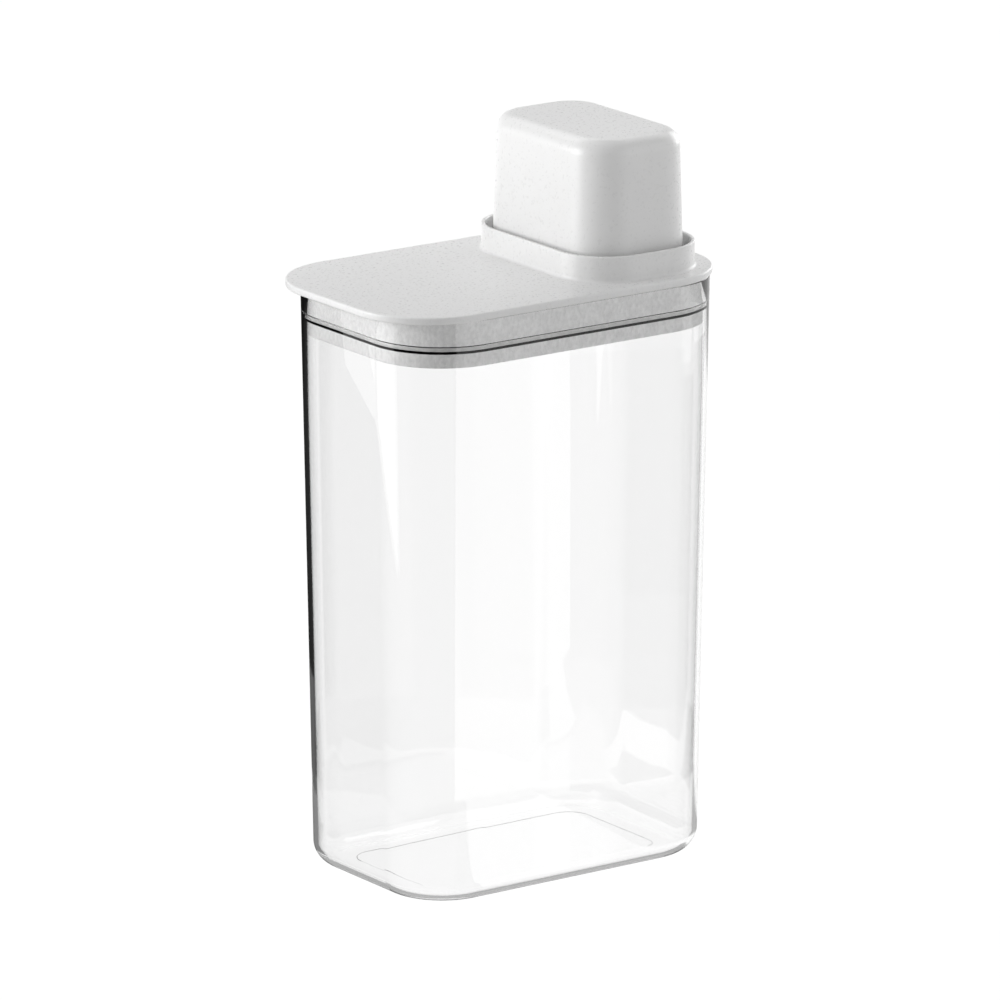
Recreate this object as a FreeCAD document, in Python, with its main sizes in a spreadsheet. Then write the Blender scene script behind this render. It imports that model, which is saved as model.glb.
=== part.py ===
import FreeCAD, Part
import os
import re
from collections import namedtuple
from math import cos, hypot, pi, sin
import Sketcher

# Storage jar: a clear tub, a white plug-in lid with a pouring spout, and a cup that caps the spout.
# The origin is the middle of the base. +Z is up, +X points from the lift tab to the spout.
# Lengths are in millimetres.

SIZES = {
    # Clear tub, measured over the outside at its rim
    "jar_length": 136.7,
    "jar_width": 93.0,
    "jar_corner": 28.2,
    "jar_height": 210.5,
    "jar_taper": 3.67,
    "jar_wall": 1.7,
    "jar_floor": 2.4,
    "base_radius": 8.0,
    "rim_break": 0.5,
    "foot_width": 8.0,
    "foot_recess": 0.8,
    # Shallow groove round the inside of the mouth, where the lid's seal settles
    "mouth_drop": 8.9,
    "mouth_groove": 0.7,
    "mouth_height": 2.7,
    "mouth_top_slope": 0.35,
    "mouth_foot_slope": 0.8,
    # Lid plate and its lift tab
    "plate_thickness": 2.7,
    "lid_overhang": 0.75,
    "tab_reach": 5.35,
    "plate_edge_break": 0.6,
    # Plug skirt and the silicone ring that seals it
    "plug_depth": 16.7,
    "plug_wall": 2.0,
    "plug_clearance": 0.4,
    "plug_edge_break": 0.6,
    "seal_height": 2.0,
    "seal_groove": 1.0,
    "seal_clearance": 0.25,
    "seal_root_gap": 0.1,
    "seal_lip_break": 0.6,
    # Measuring cup, measured over the outside at its rim. Its width follows from the collar's.
    "cup_length": 46.2,
    "cup_corner": 15.9,
    "cup_height": 49.0,
    "cup_taper": 1.5,
    "cup_wall": 1.5,
    "cup_crown_radius": 5.8,
    "cup_rim_break": 0.4,
    # Collar that the cup stands in
    "collar_end_margin": 7.25,
    "collar_side_margin": 6.9,
    "collar_height": 9.25,
    "collar_wall": 1.3,
    "cup_end_gap": 2.3,
    "cup_side_gap": 2.95,
    "collar_flare": 1.2,
    "collar_rim_break": 0.4,
    # Pouring spout under the cup, and the small ring that grips the cup
    "spout_height": 16.0,
    "spout_wall": 1.6,
    "spout_clearance": 0.8,
    "spout_lip_break": 0.5,
    "ring_rise": 9.0,
    "ring_height": 2.4,
    "ring_groove": 1.0,
    "ring_lip_break": 0.4,
    # How far every cut runs past the face that it opens
    "cut_overrun": 1.0,
}
# An edge belongs to a loop when it lies this share of the tub's wall from the loop's outline
LOOP_MATCH_SHARE = 0.01
# Straight bands that make up a quarter round on an inside corner
ROUND_BANDS = 4

doc = FreeCAD.newDocument("storage_jar")
sheet = doc.addObject("Spreadsheet::Sheet", "sizes")
for row, (size_name, size_value) in enumerate(SIZES.items(), start=1):
    sheet.set(f"A{row}", size_name)
    sheet.set(f"B{row}", str(size_value))
    sheet.setAlias(f"B{row}", size_name)
doc.recompute()

# A rounded rectangle at a height, centred on Y = 0. Each field is a sum written in the names of sizes.
Outline = namedtuple("Outline", "length width corner height centre", defaults=("0",))


def formula(text):
    """Turns the names of sizes in a sum into references to their cells."""
    def cell(word):
        name = word.group()
        return f"sizes.{name}" if name in SIZES else name

    return re.sub(r"[a-z_]+", cell, text)


def measure(text):
    """The present value of a sum."""
    return float(sheet.evalExpression(formula(text)))


def inset(outline, amount, height=None):
    """The same outline drawn in by an amount on every side, at its own height or another."""
    return Outline(
        f"({outline.length}) - 2 * ({amount})",
        f"({outline.width}) - 2 * ({amount})",
        f"({outline.corner}) - ({amount})",
        outline.height if height is None else height,
        outline.centre,
    )


def draw_outline(sketch, outline, tag):
    """Four lines and four tangent corner arcs, held by named dimensions bound to the sizes."""
    length, width, corner = (measure(text) for text in outline[:3])
    right = measure(outline.centre) + length / 2
    left = right - length
    back = width / 2
    front = -back

    def line(x_from, y_from, x_to, y_to):
        return Part.LineSegment(FreeCAD.Vector(x_from, y_from, 0), FreeCAD.Vector(x_to, y_to, 0))

    def arc(x_middle, y_middle, quarter):
        circle = Part.Circle(FreeCAD.Vector(x_middle, y_middle, 0), FreeCAD.Vector(0, 0, 1), corner)
        turn = FreeCAD.Units.Quantity("90 deg").getValueAs("rad").Value
        return Part.ArcOfCircle(circle, quarter * turn, (quarter + 1) * turn)

    first = sketch.GeometryCount
    sketch.addGeometry([
        line(left + corner, front, right - corner, front),
        arc(right - corner, front + corner, 3),
        line(right, front + corner, right, back - corner),
        arc(right - corner, back - corner, 0),
        line(right - corner, back, left + corner, back),
        arc(left + corner, back - corner, 1),
        line(left, back - corner, left, front + corner),
        arc(left + corner, front + corner, 2),
    ])
    front_line, corner_arc, right_line, back_line, left_line = (first + step for step in (0, 1, 2, 4, 6))
    joins = [Sketcher.Constraint("Tangent", first + step, 2, first + (step + 1) % 8, 1) for step in range(8)]
    levels = [Sketcher.Constraint("Horizontal", edge) for edge in (front_line, back_line)]
    levels += [Sketcher.Constraint("Vertical", edge) for edge in (right_line, left_line)]
    corners = [Sketcher.Constraint("Equal", corner_arc, corner_arc + step) for step in (2, 4, 6)]
    sketch.addConstraint(joins + levels + corners)
    dimensions = {
        "length": (Sketcher.Constraint("DistanceX", left_line, 1, right_line, 1, length), outline.length),
        "width": (Sketcher.Constraint("DistanceY", front_line, 1, back_line, 1, width), outline.width),
        "corner": (Sketcher.Constraint("Radius", corner_arc, corner), outline.corner),
        "right": (Sketcher.Constraint("DistanceX", -1, 1, right_line, 1, right),
                  f"({outline.centre}) + ({outline.length}) / 2"),
        "back": (Sketcher.Constraint("DistanceY", -1, 1, back_line, 1, back), f"({outline.width}) / 2"),
    }
    for name, (constraint, value) in dimensions.items():
        index = sketch.addConstraint(constraint)
        sketch.renameConstraint(index, f"{tag}_{name}")
        sketch.setExpression(f"Constraints.{tag}_{name}", formula(value))


def section(body, name, *outlines):
    """A level sketch at the first outline's height. A second outline inside the first makes a ring."""
    sketch = body.newObject("Sketcher::SketchObject", name)
    ground = next(plane for plane in body.Origin.OriginFeatures if plane.Role == "XY_Plane")
    sketch.AttachmentSupport = (ground, [""])
    sketch.MapMode = "FlatFace"
    sketch.setExpression("AttachmentOffset.Base.z", formula(outlines[0].height))
    for tag, outline in zip(("outer", "inner"), outlines):
        draw_outline(sketch, outline, tag)
    return sketch


def volume_now(body):
    """The body's volume after a recompute, zero before its first feature."""
    doc.recompute()
    return body.Shape.Volume if body.Tip else 0.0


def check_change(body, feature, before, adds):
    """Stops the build where a feature hasn't added or removed material as it should."""
    after = volume_now(body)
    if after == before or (after > before) != adds:
        raise RuntimeError(f"{feature.Label} changed the volume from {before} to {after}")


def loft(body, name, outlines, adds=True):
    """Straight walls from each outline to the next, added to the body or cut from it."""
    before = volume_now(body)
    sections = [section(body, f"{name}_section_{place}", outline) for place, outline in enumerate(outlines)]
    feature = body.newObject("PartDesign::AdditiveLoft" if adds else "PartDesign::SubtractiveLoft", name)
    feature.Profile = sections[0]
    feature.Sections = sections[1:]
    feature.Ruled = True
    check_change(body, feature, before, adds)


def extrude(body, name, outlines, length, adds=True, downward=False):
    """A pad or a pocket of an outline, or of the ring between two, from the first one's height."""
    before = volume_now(body)
    sketch = section(body, f"{name}_sketch", *outlines)
    feature = body.newObject("PartDesign::Pad" if adds else "PartDesign::Pocket", name)
    feature.Profile = sketch
    feature.setExpression("Length", formula(length))
    # A pad runs up from its sketch and a pocket runs down, unless reversed.
    feature.Reversed = downward == adds
    check_change(body, feature, before, adds)


def lies_on(edge, outline):
    """True where an edge is level with an outline and its middle is on that rounded rectangle."""
    reach = LOOP_MATCH_SHARE * measure("jar_wall")
    box = edge.BoundBox
    height = measure(outline.height)
    if abs(box.ZMin - height) > reach or abs(box.ZMax - height) > reach:
        return False
    length, width, corner = (measure(text) for text in outline[:3])
    middle = edge.valueAt((edge.FirstParameter + edge.LastParameter) / 2)
    beside = abs(middle.x - measure(outline.centre)) - length / 2 + corner
    beyond = abs(middle.y) - width / 2 + corner
    distance = hypot(max(beside, 0), max(beyond, 0)) + min(max(beside, beyond), 0) - corner
    return abs(distance) < reach


def dress_edges(body, name, loops, kind, size_property, size):
    """Breaks every edge that lies on one of the loops, and checks that the solid changed."""
    before = volume_now(body)
    base = body.Tip
    places = enumerate(base.Shape.Edges, start=1)
    names = [f"Edge{place}" for place, edge in places if any(lies_on(edge, loop) for loop in loops)]
    if not names:
        raise RuntimeError(f"{name} found no edges")
    feature = body.newObject(kind, name)
    feature.Base = (base, names)
    feature.setExpression(size_property, formula(size))
    if volume_now(body) == before:
        raise RuntimeError(f"{name} changed nothing")


def fillet(body, name, loops, radius):
    """Rounds the edges on the loops."""
    dress_edges(body, name, loops, "PartDesign::Fillet", "Radius", radius)


def chamfer(body, name, loops, size):
    """Takes the sharpness off the edges on the loops."""
    dress_edges(body, name, loops, "PartDesign::Chamfer", "Size", size)


def quarter_round(radius):
    """How far a quarter round stands in from the wall and up from the floor, from its floor end on."""
    for band in range(ROUND_BANDS + 1):
        turn = pi / 2 * band / ROUND_BANDS
        in_share = round(1 - sin(turn), 4)
        up_share = round(1 - cos(turn), 4)
        yield f"{in_share} * ({radius})", f"{up_share} * ({radius})"


def new_body(name):
    body = doc.addObject("PartDesign::Body", name)
    body.Label = name
    return body


def jar_outline(height, depth="0"):
    """The tub's outside at a height, where its walls lean in towards the base, or a depth inside that."""
    lean = f"jar_taper * (1 - ({height}) / jar_height)"
    return inset(Outline("jar_length", "jar_width", "jar_corner", height), f"{lean} + {depth}")


def cup_outline(rise, depth="0"):
    """The cup's outside at a rise above the lid, where it narrows to its crown, or a depth inside that."""
    lean = f"cup_taper * ({rise}) / cup_height"
    rim = Outline("cup_length", CUP_WIDTH, "cup_corner", f"{LID_TOP} + {rise}", SPOUT_CENTRE)
    return inset(rim, f"{lean} + {depth}")


# Heights and the middle of the spout, worked out from the sizes
LID_TOP = "jar_height + plate_thickness"
MOUTH_TOP = "jar_height - mouth_drop"
MOUTH_FOOT = f"{MOUTH_TOP} - mouth_height"
SEAL_FOOT = f"{MOUTH_FOOT} + (mouth_height - seal_height) / 2"
COLLAR_LENGTH = "(cup_length + 2 * cup_end_gap + 2 * collar_wall)"
COLLAR_WIDTH = "(jar_width + 2 * lid_overhang - 2 * collar_side_margin)"
CUP_WIDTH = f"({COLLAR_WIDTH} - 2 * collar_wall - 2 * cup_side_gap)"
SPOUT_CENTRE = f"(jar_length / 2 + lid_overhang - collar_end_margin - {COLLAR_LENGTH} / 2)"


def make_jar_body():
    """Tub with leaning walls, a rounded base on a standing foot, and a groove round the mouth for the seal."""
    body = new_body("jar_body")
    base, rim = jar_outline("0"), jar_outline("jar_height")
    loft(body, "tub_walls", [base, rim])
    floor_round = quarter_round("base_radius - jar_wall")
    loft(body, "tub_inside", [
        *(jar_outline(f"jar_floor + {climb}", f"jar_wall + {lean_in}") for lean_in, climb in floor_round),
        jar_outline(MOUTH_FOOT, "jar_wall"),
        jar_outline(f"{MOUTH_FOOT} + mouth_foot_slope", "jar_wall - mouth_groove"),
        jar_outline(f"{MOUTH_TOP} - mouth_top_slope", "jar_wall - mouth_groove"),
        jar_outline(MOUTH_TOP, "jar_wall"),
        inset(rim, "jar_wall"),
    ], adds=False)
    fillet(body, "base_rounding", [base], "base_radius")
    chamfer(body, "rim_chamfer", [rim, inset(rim, "jar_wall")], "rim_break")
    hollow = inset(base, "base_radius + foot_width")
    extrude(body, "foot_hollow", [hollow], "foot_recess", adds=False)
    return body


def plug_outline(height):
    """The plug skirt's outside at a height, which leans with the tub's wall at a clearance."""
    return jar_outline(height, "jar_wall + plug_clearance")


def spout_outline(rise, depth="0"):
    """The spout's outside, which follows the inside of the cup at a clearance."""
    return cup_outline(rise, f"cup_wall + spout_clearance + {depth}")


def make_lid():
    """Plate with a lift tab, plug skirt with a seal groove, collar, and the spout inside the collar."""
    body = new_body("lid")
    plate = Outline(
        "jar_length + 2 * lid_overhang + tab_reach",
        "jar_width + 2 * lid_overhang",
        "jar_corner + lid_overhang",
        "jar_height",
        "0 - tab_reach / 2",
    )
    plate_top = inset(plate, "0", LID_TOP)
    extrude(body, "plate", [plate], "plate_thickness")
    plug_ends = [plug_outline("jar_height - plug_depth"), plug_outline("jar_height")]
    loft(body, "plug_skirt", plug_ends)
    loft(body, "plug_inside", [inset(end, "plug_wall") for end in plug_ends], adds=False)
    groove = plug_outline(SEAL_FOOT)
    extrude(body, "seal_groove_cut", [inset(groove, "0 - cut_overrun"), inset(groove, "seal_groove")],
            "seal_height", adds=False)
    collar_corner = "cup_corner + cup_end_gap + collar_wall"
    collar = Outline(COLLAR_LENGTH, COLLAR_WIDTH, collar_corner, LID_TOP, SPOUT_CENTRE)
    extrude(body, "collar", [collar, inset(collar, "collar_wall")], "collar_height")
    loft(body, "spout_walls", [spout_outline("0"), spout_outline("spout_height")])
    bore = inset(spout_outline("spout_height"), "spout_wall")
    bore_depth = "spout_height + plate_thickness + cut_overrun"
    extrude(body, "spout_bore", [bore], bore_depth, adds=False, downward=True)
    ring_top = spout_outline("ring_rise + ring_height")
    ring_foot = f"{LID_TOP} + ring_rise"
    extrude(body, "ring_groove_cut",
            [inset(ring_top, "0 - cut_overrun", ring_foot), inset(ring_top, "ring_groove", ring_foot)],
            "ring_height", adds=False)
    collar_rim = inset(collar, "0", f"{LID_TOP} + collar_height")
    chamfer(body, "collar_foot_flare", [collar], "collar_flare")
    chamfer(body, "collar_rim_chamfer", [collar_rim, inset(collar_rim, "collar_wall")], "collar_rim_break")
    chamfer(body, "plate_edge_chamfer", [plate, plate_top], "plate_edge_break")
    chamfer(body, "spout_lip_chamfer", [spout_outline("spout_height")], "spout_lip_break")
    chamfer(body, "plug_edge_chamfer", [plug_ends[0]], "plug_edge_break")
    return body


def make_lid_seal():
    """Silicone ring in the plug's groove, with a rounded lip that faces the tub's mouth."""
    body = new_body("lid_seal")
    lip = jar_outline(SEAL_FOOT, "jar_wall + seal_clearance")
    root = inset(plug_outline(SEAL_FOOT), "seal_groove - seal_root_gap")
    extrude(body, "seal_ring", [lip, root], "seal_height")
    chamfer(body, "seal_lip_chamfer", [lip, inset(lip, "0", f"{SEAL_FOOT} + seal_height")], "seal_lip_break")
    return body


def make_spout_seal():
    """Small silicone ring in the spout's groove, which grips the inside of the cup."""
    body = new_body("spout_seal")
    ring_foot = f"{LID_TOP} + ring_rise"
    ring_top = f"{ring_foot} + ring_height"
    lip = inset(cup_outline("ring_rise + ring_height", "cup_wall + seal_clearance"), "0", ring_foot)
    root = inset(spout_outline("ring_rise + ring_height"), "ring_groove - seal_root_gap", ring_foot)
    extrude(body, "grip_ring", [lip, root], "ring_height")
    chamfer(body, "ring_lip_chamfer", [lip, inset(lip, "0", ring_top)], "ring_lip_break")
    return body


def make_measuring_cup():
    """Cup that stands mouth down on the plate, round the spout and inside the collar."""
    body = new_body("measuring_cup")
    rim, crown = cup_outline("0"), cup_outline("cup_height")
    loft(body, "cup_walls", [rim, crown])
    ceiling = "cup_height - cup_wall"
    ceiling_round = quarter_round("cup_crown_radius - cup_wall")
    loft(body, "cup_inside", [
        *(cup_outline(f"{ceiling} - {drop}", f"cup_wall + {lean_in}") for lean_in, drop in ceiling_round),
        inset(rim, "cup_wall"),
    ], adds=False)
    fillet(body, "crown_rounding", [crown], "cup_crown_radius")
    chamfer(body, "cup_rim_chamfer", [rim, inset(rim, "cup_wall")], "cup_rim_break")
    return body


bodies = [make() for make in (make_jar_body, make_lid, make_lid_seal, make_spout_seal, make_measuring_cup)]
doc.recompute()

# Nothing is written unless every feature is sound and every piece is one valid solid
for item in doc.Objects:
    if any(word in item.State for word in ("Invalid", "Error")):
        raise RuntimeError(f"{item.Label} failed: {item.State}")
for body in bodies:
    if body.Shape.isNull() or not body.Shape.isValid() or len(body.Shape.Solids) != 1:
        raise RuntimeError(f"{body.Label} is not one valid solid")

os.makedirs("parts", exist_ok=True)
for body in bodies:
    body.Shape.exportStep(f"parts/{body.Label}.step")
    box = body.Shape.optimalBoundingBox()
    span = f"{box.XLength:.1f} x {box.YLength:.1f} x {box.ZLength:.1f} mm"
    print(f"{body.Label}: {body.Shape.Volume:.0f} mm3, {span}")
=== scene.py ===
# %% [markdown]
# A clear storage jar with a pouring lid
#
# The object is a kitchen keeper for dry goods: a clear tub, a white lid that plugs into its mouth, and a
# white measuring cup that stands mouth down over the pouring spout. The imported model holds the true sizes,
# so this lesson loads it first and reads the main sizes from it.

# %% Load the imported model
from collections import namedtuple
from math import cos, pi, radians, sin

import bpy
import numpy as np
from mathutils import Matrix, Vector


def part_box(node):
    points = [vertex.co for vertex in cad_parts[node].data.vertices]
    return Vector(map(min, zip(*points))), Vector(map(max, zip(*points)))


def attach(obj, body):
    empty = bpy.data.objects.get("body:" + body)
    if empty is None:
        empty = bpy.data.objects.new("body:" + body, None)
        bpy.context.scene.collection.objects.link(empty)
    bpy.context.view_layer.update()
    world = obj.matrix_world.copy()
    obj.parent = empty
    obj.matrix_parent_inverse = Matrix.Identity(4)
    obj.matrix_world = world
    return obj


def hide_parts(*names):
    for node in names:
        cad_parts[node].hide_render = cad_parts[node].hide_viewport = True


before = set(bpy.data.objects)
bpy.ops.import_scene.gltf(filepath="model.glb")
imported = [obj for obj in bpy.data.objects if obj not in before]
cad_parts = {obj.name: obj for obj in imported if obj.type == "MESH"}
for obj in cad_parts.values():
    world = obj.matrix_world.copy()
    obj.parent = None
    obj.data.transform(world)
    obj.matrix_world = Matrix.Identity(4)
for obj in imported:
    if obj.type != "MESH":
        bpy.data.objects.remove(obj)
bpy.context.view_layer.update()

MM = 0.001
ML = 1e-6

# %% [markdown]
# One way to make every piece
#
# Each piece is a moulding whose level cuts are all rounded rectangles. It could be modelled by extruding and
# bevelling boxes, but then each rim, groove and rounding is a separate job. Here a piece is a list of rings,
# and a ring is five numbers: the middle along X, half the length, half the width, the corner radius and the
# height. A skin stretched over the rings gives the whole piece, inside and outside, in one closed surface.
# Edges that turn by more than the smooth limit stay sharp.

# %% Rings to a mesh
Outline = namedtuple("Outline", "centre half_length half_width corner")
ARC_STEPS = 28
SIDE_SHARES = np.array([0.01, 0.06, 0.3, 0.7, 0.94, 0.99])
SMOOTH_LIMIT = radians(28)


def ring(outline, inset, height, shrink=1.0):
    """One ring: the outline drawn in by the inset, times the shrink about its middle, at a height."""
    sizes = (outline.half_length - inset, outline.half_width - inset, outline.corner - inset)
    return (outline.centre, *(size * shrink for size in sizes), height)


def ring_points(rings):
    """A grid of points, with one row for each ring.

    A corner's points are its own middle plus the radius times (cos t, sin t), where t runs over a quarter
    turn. A side's points lie at shares of the way from the end of one corner to the start of the next, close
    together near the corners, so that the long flat walls also shade flat.
    """
    table = np.asarray(rings, float)
    centre, half_length, half_width, corner, height = (table[:, k, None, None] for k in range(5))
    turn = pi / 2 * (np.arange(4)[:, None] + np.linspace(0, 1, ARC_STEPS + 1))
    side_x = np.array([1, -1, -1, 1])[:, None]
    side_y = np.array([1, 1, -1, -1])[:, None]
    x = centre + side_x * (half_length - corner) + corner * np.cos(turn)
    y = side_y * (half_width - corner) + corner * np.sin(turn)

    def with_sides(value):
        start, end = value[:, :, -1:], np.roll(value[:, :, :1], -1, axis=1)
        return np.concatenate([value, start + (end - start) * SIDE_SHARES], axis=2).reshape(len(table), -1)

    x, y = with_sides(x), with_sides(y)
    return np.stack([x, y, np.broadcast_to(table[:, 4:], x.shape)], axis=2)


def signed_volume(points, faces):
    """The volume inside the faces, which is below zero where they point inwards."""
    a, b, c = (points[faces[:, k]] for k in range(3))
    return np.einsum("ij,ij->", a, np.cross(b, c)) / 6


def skin(name, rings, ring_closes=False):
    """A mesh over the rings. The first and last ring meet, or each closes on a point in its middle."""
    grid = ring_points(rings)
    rows, columns = grid.shape[:2]
    index = np.arange(rows * columns).reshape(rows, columns)
    near = index if ring_closes else index[:-1]
    far = np.roll(index, -1, axis=0) if ring_closes else index[1:]
    quads = np.stack([near, np.roll(near, -1, axis=1), np.roll(far, -1, axis=1), far], axis=2).reshape(-1, 4)
    points = grid.reshape(-1, 3)
    fans = np.empty((0, 3), int)
    if not ring_closes:
        points = np.vstack([points, grid[0].mean(axis=0), grid[-1].mean(axis=0)])
        first, last = rows * columns, rows * columns + 1
        start = np.stack([np.full(columns, first), np.roll(index[0], -1), index[0]], axis=1)
        end = np.stack([np.full(columns, last), index[-1], np.roll(index[-1], -1)], axis=1)
        fans = np.vstack([start, end])
    triangles = np.vstack([quads[:, [0, 1, 2]], quads[:, [0, 2, 3]], fans])
    volume = signed_volume(points, triangles)
    turn = 1 if volume > 0 else -1
    mesh = bpy.data.meshes.new(name)
    mesh.from_pydata(points.tolist(), [], quads[:, ::turn].tolist() + fans[:, ::turn].tolist())
    mesh.shade_smooth()
    mesh.set_sharp_from_angle(angle=SMOOTH_LIMIT)
    piece = bpy.data.objects.new(name, mesh)
    bpy.context.scene.collection.objects.link(piece)
    print(f"{name}: {len(triangles)} triangles, {abs(volume) / ML:.1f} ml of plastic")
    return piece


def bend(middle_inset, middle_height, radius, start, end, steps=6):
    """Insets and heights on an arc: the middle plus the radius times the cosine and sine of the angle."""
    turn = np.radians(np.linspace(start, end, steps + 1))
    return list(zip(middle_inset + radius * np.cos(turn), middle_height + radius * np.sin(turn)))


# %% [markdown]
# The camera
#
# The camera comes first, because every later step is judged through it. The photograph was taken with a
# long lens from a little above, with the jar turned by about 35 degrees. The lens and the place were worked
# out so that the rim, lid, collar, cup and base all fall on their outlines. A basis of three directions
# (right, up and backwards) says the turn more plainly than three angles would.

# %% Camera
VIEW_YAW = radians(35.21)
VIEW_ELEVATION = radians(15.174)
VIEW_DISTANCE = 3339.07 * MM
VIEW_MIDDLE_HEIGHT = 100 * MM
VIEW_OFFSET_RIGHT = 1.978 * MM
VIEW_OFFSET_UP = -28.731 * MM
SENSOR_WIDTH = 36.0
FOCAL_LENGTH = 341.44

view_forward = Vector((
    sin(VIEW_YAW) * cos(VIEW_ELEVATION),
    cos(VIEW_YAW) * cos(VIEW_ELEVATION),
    -sin(VIEW_ELEVATION),
))
view_right = Vector((cos(VIEW_YAW), -sin(VIEW_YAW), 0))
view_up = view_right.cross(view_forward)
camera_data = bpy.data.cameras.new("view_camera")
camera_data.sensor_width = SENSOR_WIDTH
camera_data.lens = FOCAL_LENGTH
camera = bpy.data.objects.new("view_camera", camera_data)
place = Vector((0, 0, VIEW_MIDDLE_HEIGHT)) - VIEW_DISTANCE * view_forward
place -= VIEW_OFFSET_RIGHT * view_right + VIEW_OFFSET_UP * view_up
basis = Matrix((view_right, view_up, -view_forward)).transposed()
camera.matrix_world = Matrix.Translation(place) @ basis.to_4x4()
bpy.context.scene.collection.objects.link(camera)
bpy.context.scene.camera = camera
print("camera at", [round(value, 3) for value in place])

# %% [markdown]
# The clear tub
#
# The tub is one shot of clear plastic. Its walls lean in towards the base so that it leaves the mould, the
# base is rounded outside and inside, a foot ring keeps the middle off the table, and a shallow groove runs
# round the inside of the mouth, where the lid's seal settles. The groove's two flanks turn light back inside
# the wall, so they show as two dark lines. Clear plastic only looks right as a wall with two faces, so the
# rings run up the outside, over the rim and down the inside. The two roundings of the base have one more
# ring close to each end, which keeps the flat beside them free of their shade.

# %% Tub
jar_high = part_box("jar_body")[1]
JAR_HEIGHT = jar_high.z
JAR_CORNER = 28.2 * MM
JAR_RIM = Outline(0.0, jar_high.x, jar_high.y, JAR_CORNER)
JAR_TAPER = 3.67 * MM
JAR_WALL = 1.7 * MM
JAR_FLOOR = 1.7 * MM
BASE_RADIUS = 8.0 * MM
FOOT_WIDTH = 8.0 * MM
FOOT_RECESS = 0.25 * MM
FOOT_SLOPE = 0.2 * MM
EDGE_LOOP = 0.4 * MM
RIM_ROUND = 0.6 * MM
MOUTH_GROOVE = 0.7 * MM
MOUTH_DEPTH = 8.9 * MM
MOUTH_HEIGHT = 2.7 * MM
MOUTH_TOP = JAR_HEIGHT - MOUTH_DEPTH
MOUTH_FOOT = MOUTH_TOP - MOUTH_HEIGHT
MOUTH_TOP_SLOPE = 0.35 * MM
MOUTH_FOOT_SLOPE = 1.1 * MM
WALL_STEPS = 6
BASE_STEPS = 14
FLOOR_SHRINKS = (0.95, 0.6, 0.25)


def jar_lean(height):
    """How far the leaning wall stands in from the rim's outline at a height."""
    return JAR_TAPER * (1 - height / JAR_HEIGHT)


def jar_ring(inset, height, shrink=1.0):
    """A ring at an inset from the leaning wall's outside."""
    return ring(JAR_RIM, jar_lean(height) + inset, height, shrink)


inner_round = BASE_RADIUS - JAR_WALL
hollow = BASE_RADIUS + FOOT_WIDTH
hollow_floor = hollow + FOOT_SLOPE
inner_foot = JAR_FLOOR + inner_round
outer_heights = np.linspace(BASE_RADIUS + EDGE_LOOP, JAR_HEIGHT - RIM_ROUND, WALL_STEPS)[:-1]
inner_heights = np.linspace(MOUTH_FOOT, inner_foot + EDGE_LOOP, WALL_STEPS)
jar_profile = [
    (hollow_floor, FOOT_RECESS),
    (hollow, 0.0),
    (BASE_RADIUS + EDGE_LOOP, 0.0),
    *bend(BASE_RADIUS, BASE_RADIUS, BASE_RADIUS, 270, 180, steps=BASE_STEPS),
    *((0.0, height) for height in outer_heights),
    *bend(RIM_ROUND, JAR_HEIGHT - RIM_ROUND, RIM_ROUND, 180, 90),
    *bend(JAR_WALL - RIM_ROUND, JAR_HEIGHT - RIM_ROUND, RIM_ROUND, 90, 0),
    (JAR_WALL, MOUTH_TOP),
    (JAR_WALL - MOUTH_GROOVE, MOUTH_TOP - MOUTH_TOP_SLOPE),
    (JAR_WALL - MOUTH_GROOVE, MOUTH_FOOT + MOUTH_FOOT_SLOPE),
    *((JAR_WALL, height) for height in inner_heights),
    *bend(BASE_RADIUS, inner_foot, inner_round, 180, 270, steps=BASE_STEPS),
    (BASE_RADIUS + EDGE_LOOP, JAR_FLOOR),
]
jar_rings = [
    *(jar_ring(hollow_floor, FOOT_RECESS, shrink) for shrink in FLOOR_SHRINKS[::-1]),
    *(jar_ring(inset, height) for inset, height in jar_profile),
    *(jar_ring(BASE_RADIUS + EDGE_LOOP, JAR_FLOOR, shrink) for shrink in FLOOR_SHRINKS),
]
tub = skin("clear_tub", jar_rings)

# %% [markdown]
# The lid
#
# The lid is one white moulding: a plate with a lift tab at one end, a plug skirt that drops into the mouth,
# a raised collar and, inside the collar, the pouring spout. Its section is a loop, so its rings run from the
# bore up over the spout, through the channel, over the collar, round the plate and plug, and back to the
# bore.

# %% Lid
lid_low, lid_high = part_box("lid")
cup_low, cup_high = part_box("measuring_cup")
PLATE_TOP = cup_low.z
PLATE_CORNER_EXTRA = 0.75 * MM
PLATE = Outline(
    (lid_low.x + lid_high.x) / 2,
    (lid_high.x - lid_low.x) / 2,
    lid_high.y,
    JAR_RIM.corner + PLATE_CORNER_EXTRA,
)
PLATE_ROUND = 0.7 * MM
CUP_CENTRE = (cup_low.x + cup_high.x) / 2
CUP_CORNER = 15.9 * MM
CUP_RIM = Outline(CUP_CENTRE, (cup_high.x - cup_low.x) / 2, cup_high.y, CUP_CORNER)
CUP_HEIGHT = cup_high.z - cup_low.z
CUP_TAPER = 1.5 * MM
CUP_WALL = 1.5 * MM
COLLAR_WALL = 1.3 * MM
COLLAR_END_GAP = 2.3 * MM
COLLAR_SIDE_GAP = 2.95 * MM
COLLAR_HEIGHT = 9.25 * MM
COLLAR_TOP = PLATE_TOP + COLLAR_HEIGHT
COLLAR_ROUND = 0.45 * MM
COLLAR_FLARE = 1.2 * MM
COLLAR = Outline(
    CUP_CENTRE,
    CUP_RIM.half_length + COLLAR_END_GAP + COLLAR_WALL,
    CUP_RIM.half_width + COLLAR_SIDE_GAP + COLLAR_WALL,
    CUP_RIM.corner + COLLAR_END_GAP + COLLAR_WALL,
)
PLUG_CLEARANCE = 0.15 * MM
PLUG_FOOT = lid_low.z
PLUG_WALL = 2.0 * MM
PLUG_ROUND = 0.6 * MM
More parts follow.
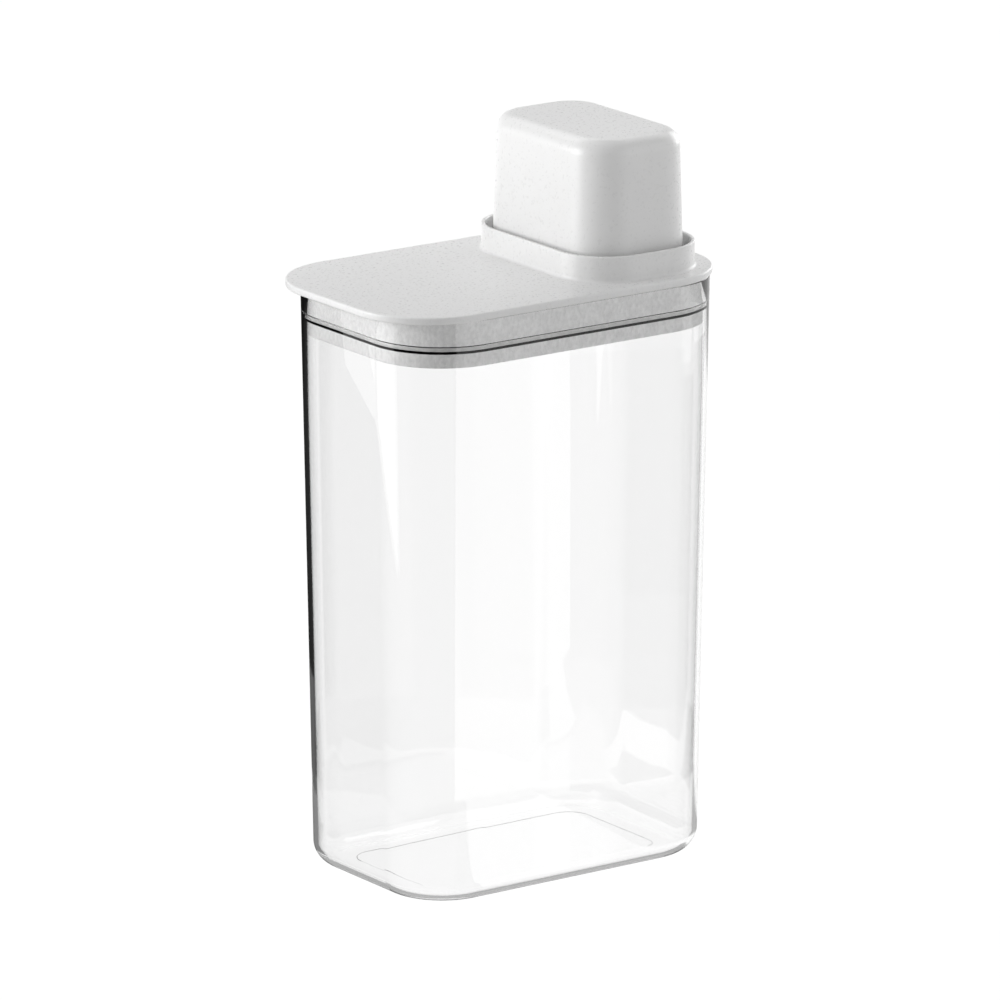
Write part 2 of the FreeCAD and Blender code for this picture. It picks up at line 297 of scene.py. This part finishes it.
GROOVE_DEPTH = 1.0 * MM
seal_low, seal_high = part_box("lid_seal")
grip_low, grip_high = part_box("spout_seal")
SPOUT_CLEARANCE = 0.8 * MM
SPOUT_WALL = 1.6 * MM
SPOUT_TOP = lid_high.z
SPOUT_ROUND = 0.7 * MM
CHANNEL_ROUND = 0.5 * MM
CHANNEL_STEPS = 4


def cup_lean(height):
    """How far the cup's narrowing wall stands in from its rim's outline at a height."""
    return CUP_TAPER * (height - PLATE_TOP) / CUP_HEIGHT


def spout_inset(height):
    """The spout follows the inside of the cup at a clearance."""
    return cup_lean(height) + CUP_WALL + SPOUT_CLEARANCE


def plug_inset(height):
    """The plug leans with the inside of the tub at a clearance."""
    return jar_lean(height) + JAR_WALL + PLUG_CLEARANCE


bore_inset = spout_inset(SPOUT_TOP) + SPOUT_WALL
grip_groove = spout_inset(grip_high.z) + GROOVE_DEPTH
channel_inner = spout_inset(PLATE_TOP)
channel_round_height = PLATE_TOP + CHANNEL_ROUND
spout_profile = [
    (bore_inset, JAR_HEIGHT),
    *bend(bore_inset - SPOUT_ROUND, SPOUT_TOP - SPOUT_ROUND, SPOUT_ROUND, 0, 90),
    *bend(spout_inset(SPOUT_TOP) + SPOUT_ROUND, SPOUT_TOP - SPOUT_ROUND, SPOUT_ROUND, 90, 180),
    (spout_inset(grip_high.z), grip_high.z),
    (grip_groove, grip_high.z),
    (grip_groove, grip_low.z),
    (spout_inset(grip_low.z), grip_low.z),
    *bend(channel_inner - CHANNEL_ROUND, channel_round_height, CHANNEL_ROUND, 0, -90, steps=CHANNEL_STEPS),
]
collar_profile = [
    *bend(COLLAR_WALL + CHANNEL_ROUND, channel_round_height, CHANNEL_ROUND, 270, 180, steps=CHANNEL_STEPS),
    *bend(COLLAR_WALL - COLLAR_ROUND, COLLAR_TOP - COLLAR_ROUND, COLLAR_ROUND, 0, 90),
    *bend(COLLAR_ROUND, COLLAR_TOP - COLLAR_ROUND, COLLAR_ROUND, 90, 180),
    *bend(-COLLAR_FLARE, PLATE_TOP + COLLAR_FLARE, COLLAR_FLARE, 0, -90),
]
plate_profile = [
    *bend(PLATE_ROUND, PLATE_TOP - PLATE_ROUND, PLATE_ROUND, 90, 180),
    *bend(PLATE_ROUND, JAR_HEIGHT + PLATE_ROUND, PLATE_ROUND, 180, 270),
]
seal_groove = plug_inset(seal_low.z) + GROOVE_DEPTH
plug_top = plug_inset(JAR_HEIGHT)
plug_end = plug_inset(PLUG_FOOT)
plug_profile = [
    (plug_top, JAR_HEIGHT),
    (plug_inset(seal_high.z), seal_high.z),
    (seal_groove, seal_high.z),
    (seal_groove, seal_low.z),
    (plug_inset(seal_low.z), seal_low.z),
    *bend(plug_end + PLUG_ROUND, PLUG_FOOT + PLUG_ROUND, PLUG_ROUND, 180, 270),
    *bend(plug_end + PLUG_WALL - PLUG_ROUND, PLUG_FOOT + PLUG_ROUND, PLUG_ROUND, 270, 360),
    (plug_top + PLUG_WALL, JAR_HEIGHT),
]
lid_sections = (
    (CUP_RIM, spout_profile),
    (COLLAR, collar_profile),
    (PLATE, plate_profile),
    (JAR_RIM, plug_profile),
)
lid_rings = [ring(outline, *point) for outline, profile in lid_sections for point in profile]
pouring_lid = skin("pouring_lid", lid_rings, ring_closes=True)

# %% [markdown]
# The two seals
#
# A soft ring in the plug's groove closes the mouth, and a smaller one round the spout grips the cup. Each is
# a loop of rings with a rounded lip on the side that presses on its neighbour.

# %% Seals
SEAL_ROOT_GAP = 0.1 * MM
SEAL_LIP_ROUND = 0.7 * MM
GRIP_LIP_ROUND = 0.5 * MM


def seal_ring(name, lip, root, low, high, lip_round):
    """A loop from the root up, out to the lip and back: four corners, the outer two as quarter rounds."""
    upper_round = bend(lip_round, high - lip_round, lip_round, 90, 180)
    lower_round = bend(lip_round, low + lip_round, lip_round, 180, 270)
    rings = [
        ring(root, 0.0, low),
        ring(root, 0.0, high),
        *(ring(lip, inset, height) for inset, height in upper_round + lower_round),
    ]
    return skin(name, rings, ring_closes=True)


def drawn_in(outline, inset):
    """The outline with the same middle and every size less the inset."""
    return Outline(outline.centre, *(size - inset for size in outline[1:]))


lip_inset = JAR_RIM.half_length - seal_high.x
mouth_seal = seal_ring(
    "mouth_seal",
    drawn_in(JAR_RIM, lip_inset),
    drawn_in(JAR_RIM, seal_groove - SEAL_ROOT_GAP),
    seal_low.z,
    seal_high.z,
    SEAL_LIP_ROUND,
)
grip_inset = CUP_RIM.half_width - grip_high.y
cup_grip = seal_ring(
    "cup_grip",
    drawn_in(CUP_RIM, grip_inset),
    drawn_in(CUP_RIM, grip_groove - SEAL_ROOT_GAP),
    grip_low.z,
    grip_high.z,
    GRIP_LIP_ROUND,
)

# %% [markdown]
# The measuring cup
#
# The cup is a thin white tub, upside down. Its walls narrow a little towards the crown, which has a soft
# rounding that catches the light. The rings start in the middle of the ceiling, run down the inside to the
# rim, and then up the outside to the middle of the crown.

# %% Cup
CROWN_ROUND = 5.8 * MM
CROWN_STEPS = 16
CEILING_STEPS = 12
CUP_RIM_ROUND = 0.5 * MM
CUP_TOP = cup_high.z
ceiling = CUP_TOP - CUP_WALL
ceiling_round = CROWN_ROUND - CUP_WALL


def cup_ring(inset, height, shrink=1.0):
    """A ring at an inset from the narrowing wall's outside."""
    return ring(CUP_RIM, cup_lean(height) + inset, height, shrink)


cup_profile = [
    *bend(CROWN_ROUND, ceiling - ceiling_round, ceiling_round, 90, 180, steps=CEILING_STEPS),
    *bend(CUP_WALL - CUP_RIM_ROUND, PLATE_TOP + CUP_RIM_ROUND, CUP_RIM_ROUND, 0, -90),
    *bend(CUP_RIM_ROUND, PLATE_TOP + CUP_RIM_ROUND, CUP_RIM_ROUND, 270, 180),
    *((0.0, height) for height in np.linspace(PLATE_TOP, CUP_TOP - CROWN_ROUND, WALL_STEPS)[1:-1]),
    *bend(CROWN_ROUND, CUP_TOP - CROWN_ROUND, CROWN_ROUND, 180, 90, steps=CROWN_STEPS),
]
cup_rings = [
    *(cup_ring(CROWN_ROUND, ceiling, shrink) for shrink in FLOOR_SHRINKS[::-1]),
    *(cup_ring(inset, height) for inset, height in cup_profile),
    *(cup_ring(CROWN_ROUND, CUP_TOP, shrink) for shrink in FLOOR_SHRINKS),
]
scoop_cup = skin("scoop_cup", cup_rings)

# %% [markdown]
# Clear plastic
#
# The tub is polished clear plastic. The shader is one Principled node with full transmission, because the
# wall has real thickness and bends light by itself. A very faint, long wave in the surface and a trace of
# roughness stand for the flow of the moulding.

# %% Clear plastic finish
CLEAR_IOR = 1.5
CLEAR_TINT = 0.999
CLEAR_ROUGHNESS = (0.0, 0.012)
FLOW_DEPTH = 0.01 * MM
NOISE_LOW = 0.3
NOISE_HIGH = 0.7


def grey(value):
    """A colour with three equal parts, fully opaque."""
    return (value, value, value, 1)


def new_material(name):
    """A material with its node tree and its Principled shader."""
    material = bpy.data.materials.new(name)
    material.use_nodes = True
    tree = material.node_tree
    shader = tree.nodes["Principled BSDF"]
    return material, tree, shader


def noise(tree, scale, detail, stretch=(1, 1, 1)):
    """Noise on Object coordinates, in cycles per metre, drawn out along an axis by a stretch below one."""
    place = tree.nodes.new("ShaderNodeTexCoord")
    mapping = tree.nodes.new("ShaderNodeMapping")
    mapping.inputs["Scale"].default_value = stretch
    texture = tree.nodes.new("ShaderNodeTexNoise")
    texture.inputs["Scale"].default_value = scale
    texture.inputs["Detail"].default_value = detail
    tree.links.new(place.outputs["Object"], mapping.inputs["Vector"])
    tree.links.new(mapping.outputs["Vector"], texture.inputs["Vector"])
    return texture.outputs["Fac"]


def remap(tree, value, low, high, from_low=NOISE_LOW, from_high=NOISE_HIGH):
    """A value spread from one range, by default that of most noise, to another, and clamped to it."""
    node = tree.nodes.new("ShaderNodeMapRange")
    tree.links.new(value, node.inputs["Value"])
    node.inputs["From Min"].default_value = from_low
    node.inputs["From Max"].default_value = from_high
    node.inputs["To Min"].default_value = low
    node.inputs["To Max"].default_value = high
    return node.outputs["Result"]


def math_node(tree, operation, first, second):
    """One operation on two values, of which the second may be a plain number."""
    node = tree.nodes.new("ShaderNodeMath")
    node.operation = operation
    tree.links.new(first, node.inputs[0])
    if isinstance(second, float):
        node.inputs[1].default_value = second
    else:
        tree.links.new(second, node.inputs[1])
    return node.outputs["Value"]


def bump(tree, height, distance, shader):
    """A bump of a real depth on the shader's normal."""
    node = tree.nodes.new("ShaderNodeBump")
    node.inputs["Distance"].default_value = distance
    tree.links.new(height, node.inputs["Height"])
    tree.links.new(node.outputs["Normal"], shader.inputs["Normal"])


def clear_plastic():
    """Full transmission with a trace of roughness and a long, faint wave."""
    material, tree, shader = new_material("clear_plastic")
    shader.inputs["Base Color"].default_value = grey(CLEAR_TINT)
    shader.inputs["Transmission Weight"].default_value = 1.0
    shader.inputs["IOR"].default_value = CLEAR_IOR
    roughness = remap(tree, noise(tree, scale=60, detail=3), *CLEAR_ROUGHNESS)
    tree.links.new(roughness, shader.inputs["Roughness"])
    bump(tree, noise(tree, scale=25, detail=1), FLOW_DEPTH, shader)
    return material


tub.data.materials.append(clear_plastic())
print("clear plastic, index of refraction", CLEAR_IOR)

# %% [markdown]
# White plastic and silicone
#
# The lid and the cup have the fine satin of a spark-eroded mould: a grain of a few tenths of a millimetre
# that softens every highlight. The plug, which is seen through the tub, is a little mottled and also darker
# on average, as painted shade under the plate; most of both fades out at the plate. The seals are milky
# silicone, which lets some light in below its surface.

# %% White plastic and silicone finishes
WHITE = 0.9
WHITE_BLUE_SHARE = 0.997
CALM_SHARE = 0.15
CALM_FADE = 1.0 * MM
SATIN_ROUGHNESS = (0.26, 0.34)
GRAIN_DEPTH = 0.0012 * MM
MILKY_DEEP = (0.52, 0.52, 0.515, 1)
MILKY_PALE = (0.64, 0.64, 0.635, 1)
SILICONE_ROUGHNESS = (0.35, 0.5)
SCATTER_SHARE = 0.4
SCATTER_RADIUS = (1.0, 1.0, 0.95)
SCATTER_DEPTH = 1.0 * MM


def mix_colour(tree, factor, first, second):
    """The first colour where the factor is 0, the second where it is 1, and a blend between."""
    node = tree.nodes.new("ShaderNodeMix")
    node.data_type = "RGBA"
    node.inputs["A"].default_value = first
    node.inputs["B"].default_value = second
    tree.links.new(factor, node.inputs["Factor"])
    return node.outputs["Result"]


def by_height(tree, below, above, height, fade):
    """One value below a height and another above it, with a short fade between."""
    place = tree.nodes.new("ShaderNodeTexCoord")
    axes = tree.nodes.new("ShaderNodeSeparateXYZ")
    tree.links.new(place.outputs["Object"], axes.inputs["Vector"])
    return remap(tree, axes.outputs["Z"], below, above, height - fade, height)


def white_plastic(name, mottle_and_shade_scale, mottle_and_shade_depth, stretch, mottle_and_shade_top):
    """Satin white with a fine grain, mottled and darker as painted shade, mostly below a height."""
    material, tree, shader = new_material(name)
    # Random mottle that, below the height, also darkens the colour on average as painted shade.
    mottle_and_shade = remap(tree, noise(tree, mottle_and_shade_scale, detail=4, stretch=stretch), 0.0, 1.0)
    share = by_height(tree, below=1.0, above=CALM_SHARE, height=mottle_and_shade_top, fade=CALM_FADE)
    mottle_and_shade = math_node(tree, "MULTIPLY", mottle_and_shade, share)
    pale = (WHITE, WHITE, WHITE * WHITE_BLUE_SHARE, 1)
    dark = tuple(value * (1 - mottle_and_shade_depth) for value in pale[:3]) + (1,)
    tree.links.new(mix_colour(tree, mottle_and_shade, pale, dark), shader.inputs["Base Color"])
    roughness = remap(tree, noise(tree, scale=900, detail=2), *SATIN_ROUGHNESS)
    tree.links.new(roughness, shader.inputs["Roughness"])
    bump(tree, noise(tree, scale=2600, detail=2), GRAIN_DEPTH, shader)
    return material


def silicone():
    """Milky, a little cloudy, with light that scatters for about a millimetre below the surface."""
    material, tree, shader = new_material("milky_silicone")
    mottle_and_shade = remap(tree, noise(tree, scale=400, detail=3), 0.0, 1.0)
    tree.links.new(mix_colour(tree, mottle_and_shade, MILKY_DEEP, MILKY_PALE), shader.inputs["Base Color"])
    roughness = remap(tree, noise(tree, scale=1500, detail=2), *SILICONE_ROUGHNESS)
    tree.links.new(roughness, shader.inputs["Roughness"])
    shader.inputs["Subsurface Weight"].default_value = SCATTER_SHARE
    shader.inputs["Subsurface Radius"].default_value = SCATTER_RADIUS
    shader.inputs["Subsurface Scale"].default_value = SCATTER_DEPTH
    return material


# Painted shade: the lid is about a tenth darker on average below the plate, on the plug seen through the tub.
lid_finish = white_plastic(
    "lid_plastic", mottle_and_shade_scale=800, mottle_and_shade_depth=0.2, stretch=(1, 1, 0.7), mottle_and_shade_top=JAR_HEIGHT
)
cup_finish = white_plastic(
    "cup_plastic", mottle_and_shade_scale=150, mottle_and_shade_depth=0.015, stretch=(1, 1, 1), mottle_and_shade_top=CUP_TOP
)
pouring_lid.data.materials.append(lid_finish)
scoop_cup.data.materials.append(cup_finish)
seal_finish = silicone()
mouth_seal.data.materials.append(seal_finish)
cup_grip.data.materials.append(seal_finish)
print("white plastic reflects", WHITE)

# %% [markdown]
# Who rides on what
#
# Each dressed piece stands for one imported piece: it hides it and moves with its body. The tub lets the
# lamps and all scattered light through to what stands behind it, as clear plastic does.

# %% Ride and replace
for piece, node, body, slot in (
    (tub, "jar_body", "jar", "clear_plastic"),
    (pouring_lid, "lid", "lid", "white_plastic"),
    (mouth_seal, "lid_seal", "lid", "silicone"),
    (cup_grip, "spout_seal", "lid", "silicone"),
    (scoop_cup, "measuring_cup", "cup", "white_plastic"),
):
    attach(piece, body)
    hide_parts(node)
    print(piece.name, "rides on", body, "and stands for", node)
tub.visible_shadow = False
tub.visible_diffuse = False

# %% [markdown]
# The studio
#
# The photograph has a white background and soft light. The world is white for rays that come straight from
# the camera, or through or off clear plastic, and a dim grey for the light that falls on the object, so the
# background is white without flooding the white plastic. The floor works the same way, and keeps a soft
# shadow. A ray's depths are whole numbers, so a half tells none from one.

# %% World and floor
AMBIENT = 0.2
FLOOR_ALBEDO = 0.85
FLOOR_SHOWN = 0.15
FLOOR_GLOW = 0.93
FLOOR_REACH = 20.0
FLOOR_DROP = 0.2 * MM
HALF_BOUNCE = 0.5


def straight_rays(tree):
    """1 for rays from the camera, or off or through clear plastic, that no matt surface has scattered."""
    path = tree.nodes.new("ShaderNodeLightPath")
    either = math_node(tree, "MAXIMUM", path.outputs["Is Camera Ray"], path.outputs["Is Glossy Ray"])
    either = math_node(tree, "MAXIMUM", either, path.outputs["Is Transmission Ray"])
    unscattered = math_node(tree, "LESS_THAN", path.outputs["Diffuse Depth"], HALF_BOUNCE)
    return math_node(tree, "MULTIPLY", either, unscattered)


world = bpy.data.worlds.new("studio")
bpy.context.scene.world = world
world.use_nodes = True
backdrop = world.node_tree.nodes["Background"]
backdrop.inputs["Color"].default_value = grey(1)
world_rays = straight_rays(world.node_tree)
world_level = remap(world.node_tree, world_rays, AMBIENT, 1.0, from_low=0.0, from_high=1.0)
world.node_tree.links.new(world_level, backdrop.inputs["Strength"])

corners = np.array([[-1, -1], [1, -1], [1, 1], [-1, 1]]) * FLOOR_REACH / 2
floor_mesh = bpy.data.meshes.new("studio_floor")
floor_mesh.from_pydata([(x, y, -FLOOR_DROP) for x, y in corners], [], [(0, 1, 2, 3)])
floor = bpy.data.objects.new("studio_floor", floor_mesh)
bpy.context.scene.collection.objects.link(floor)
floor_finish, floor_tree, floor_shader = new_material("floor_paper")
floor_rays = straight_rays(floor_tree)
paper = mix_colour(floor_tree, floor_rays, grey(FLOOR_ALBEDO), grey(FLOOR_SHOWN))
floor_tree.links.new(paper, floor_shader.inputs["Base Color"])
floor_shader.inputs["Roughness"].default_value = 1.0
floor_shader.inputs["Specular IOR Level"].default_value = 0.0
floor_shader.inputs["Emission Color"].default_value = grey(1)
glow = remap(floor_tree, floor_rays, 0.0, FLOOR_GLOW, from_low=0.0, from_high=1.0)
floor_tree.links.new(glow, floor_shader.inputs["Emission Strength"])
floor.data.materials.append(floor_finish)
print("ambient", AMBIENT, "floor glow", FLOOR_GLOW)

# %% [markdown]
# Studio cards
#
# Clear plastic is drawn by what stands beside it. Black and grey cards give a clear edge its dark line and a
# clear wall its soft grey. Where the cards stop short, the white behind them shows: the slanted top of the
# two window cards leaves a bright streak down the wall. The cards are upright strips on a circle round the
# jar, one flat flag and level strips on the floor, and a bright panel high at the back puts a shine on the
# cup's crown. Only a ray that a glossy surface has turned back sees them, so the background, the shadows and
# the scattered light on the white plastic stay as they are. The two grey strips close round the base are a
# painted contact shadow under the tub's edge. Headings are in degrees from +X towards +Y.

# %% Cards
CARD_RADIUS = 150 * MM
CARD_STEPS = 12
CARD_FOOT = 4 * MM
CARD_TOP = 208 * MM
FLAG_STEP = 48 * MM
WINDOW_SIDE = 165 * MM
WINDOW_BEND = 143 * MM
WINDOW_FOOT = 90 * MM
RIGHT_TOP = 155 * MM
RIGHT_END_TOP = 168 * MM
PANEL_RADIUS = 300 * MM
PANEL_FOOT = 460 * MM
PANEL_TOP = 640 * MM
BLACK = 0.02
DARK = 0.04


def around(start, end, radius=CARD_RADIUS):
    """Points on a circle round the jar: the radius times (cos t, sin t), with t between two headings."""
    turn = np.radians(np.linspace(start, end, CARD_STEPS + 1))
    return radius * np.stack([np.cos(turn), np.sin(turn)], axis=1)


def upright(points, low=0.0, high=CARD_TOP):
    """An upright strip over a line of points. An edge is level, or runs straight between two heights."""
    edges = [np.linspace(*np.broadcast_to(heights, 2), len(points)) for heights in (low, high)]
    return np.stack([np.column_stack([points, heights]) for heights in edges])


def on_floor(outer, inner, start, end):
    """A level strip of the floor between two insets from the tub's outline and between two headings."""
    grid = ring_points([jar_ring(inset, 0.0) for inset in (outer, inner)])
    grid[..., 2] = -FLOOR_DROP / 2
    grid = np.concatenate([grid, grid[:, :1]], axis=1)
    heading = np.degrees(np.unwrap(np.arctan2(grid[1, :, 1], grid[1, :, 0])))
    return grid[:, (heading >= start) & (heading <= end)]


def card_paper(name, level):
    """Light of one level for rays that were turned back at least once, and nothing for the others."""
    material = bpy.data.materials.new(name)
    material.use_nodes = True
    tree = material.node_tree
    tree.nodes.clear()
    path = tree.nodes.new("ShaderNodeLightPath")
    glow = tree.nodes.new("ShaderNodeEmission")
    glow.inputs["Strength"].default_value = level
    clear = tree.nodes.new("ShaderNodeBsdfTransparent")
    mix = tree.nodes.new("ShaderNodeMixShader")
    output = tree.nodes.new("ShaderNodeOutputMaterial")
    turned_back = math_node(tree, "GREATER_THAN", path.outputs["Glossy Depth"], HALF_BOUNCE)
    tree.links.new(turned_back, mix.inputs["Fac"])
    tree.links.new(clear.outputs["BSDF"], mix.inputs[1])
    tree.links.new(glow.outputs["Emission"], mix.inputs[2])
    tree.links.new(mix.outputs["Shader"], output.inputs["Surface"])
    material.cycles.emission_sampling = "NONE"
    return material


def card(name, grid, level):
    """A sheet over two rows of points, kept out of the picture, the shadows and the matt light."""
    count = grid.shape[1]
    near = np.arange(count - 1)
    faces = np.stack([near, near + 1, near + 1 + count, near + count], axis=1)
    mesh = bpy.data.meshes.new(name)
    mesh.from_pydata(grid.reshape(-1, 3).tolist(), [], faces.tolist())
    sheet = bpy.data.objects.new(name, mesh)
    bpy.context.scene.collection.objects.link(sheet)
    sheet.data.materials.append(card_paper(name, level))
    sheet.visible_camera = False
    sheet.visible_diffuse = False
    sheet.visible_shadow = False
    return sheet


flag = np.array([(-66, 96), (2, 124)]) * MM
panel = around(start=-15, end=110, radius=PANEL_RADIUS)
cards = [
    card("black_card", upright(around(start=87, end=115), low=CARD_FOOT), BLACK),
    card("black_flag", upright(flag, low=FLAG_STEP), BLACK),
    card("black_flag_foot", upright(flag, low=CARD_FOOT, high=FLAG_STEP), level=0.12),
    card("left_card", upright(around(start=115, end=146.5)), DARK),
    card("window_upper_card", upright(around(start=146.5, end=150), high=(WINDOW_SIDE, WINDOW_BEND)), DARK),
    card("window_lower_card", upright(around(start=150, end=182), high=(WINDOW_BEND, WINDOW_FOOT)), DARK),
    card("front_card", upright(around(start=182, end=241)), DARK),
    card("right_wall_card", upright(around(start=291, end=309), high=RIGHT_END_TOP), level=0.7),
    card("far_wall_card", upright(around(start=309, end=318), high=RIGHT_END_TOP), level=0.5),
    card("right_card", upright(around(start=318, end=332), high=RIGHT_TOP), level=0.2),
    card("right_end_card", upright(around(start=332, end=355), high=RIGHT_END_TOP), DARK),
    card("crown_panel", upright(panel, low=PANEL_FOOT, high=PANEL_TOP), level=3.0),
    # Painted shadow: these two grey floor strips stand for the contact shadow round and under the tub's base.
    card("painted_contact_shadow", on_floor(outer=-1 * MM, inner=6.2 * MM, start=140, end=330), level=0.45),
    card("painted_contact_shadow_inner", on_floor(outer=6.2 * MM, inner=14 * MM, start=140, end=330), level=0.95),
    card("left_floor_card", on_floor(outer=-112 * MM, inner=-2 * MM, start=87, end=241), level=0.25),
    card("back_floor_card", on_floor(outer=-112 * MM, inner=-2 * MM, start=30, end=87), level=0.3),
    card("right_floor_card", on_floor(outer=-90 * MM, inner=-8 * MM, start=309, end=355), level=0.5),
]
print(len(cards), "cards")

# %% [markdown]
# The softboxes
#
# A large softbox on the left, a little above the jar, makes the bright side faces. A weaker, wider one on
# the right fills the shaded sides, one behind lights the far end of the plug, which the clear wall's right
# edge shows, and one overhead lights the tops. Their light reaches the plug through the clear wall, so they
# are kept out of the rays that pass through it, or that light would count twice.

# %% Lamps
LAMP_DISTANCE = 2.0
LAMP_AIM = Vector((0, 0, 0.2))


def softbox(name, heading, elevation, size, watts):
    """A square area lamp on a sphere round the jar, turned to face it."""
    data = bpy.data.lights.new(name, "AREA")
    data.shape = "SQUARE"
    data.size = size
    data.energy = watts
    lamp = bpy.data.objects.new(name, data)
    heading, elevation = radians(heading), radians(elevation)
    towards = Vector((cos(elevation) * cos(heading), cos(elevation) * sin(heading), sin(elevation)))
    lamp.location = LAMP_AIM + LAMP_DISTANCE * towards
    lamp.rotation_euler = towards.to_track_quat("Z", "Y").to_euler()
    lamp.visible_camera = False
    lamp.visible_transmission = False
    bpy.context.scene.collection.objects.link(lamp)
    print(name, watts, "W at", [round(value, 2) for value in lamp.location])


softbox("left_softbox", heading=150, elevation=10, size=1.2, watts=31.0)
softbox("right_softbox", heading=300, elevation=12, size=2.0, watts=11.8)
softbox("rear_softbox", heading=15, elevation=10, size=1.2, watts=13.0)
softbox("top_softbox", heading=54, elevation=86, size=2.0, watts=10.5)

# %% [markdown]
# Finish
#
# The picture uses plain colours without a film curve.

# %% Finish
bpy.context.scene.view_settings.view_transform = "Standard"
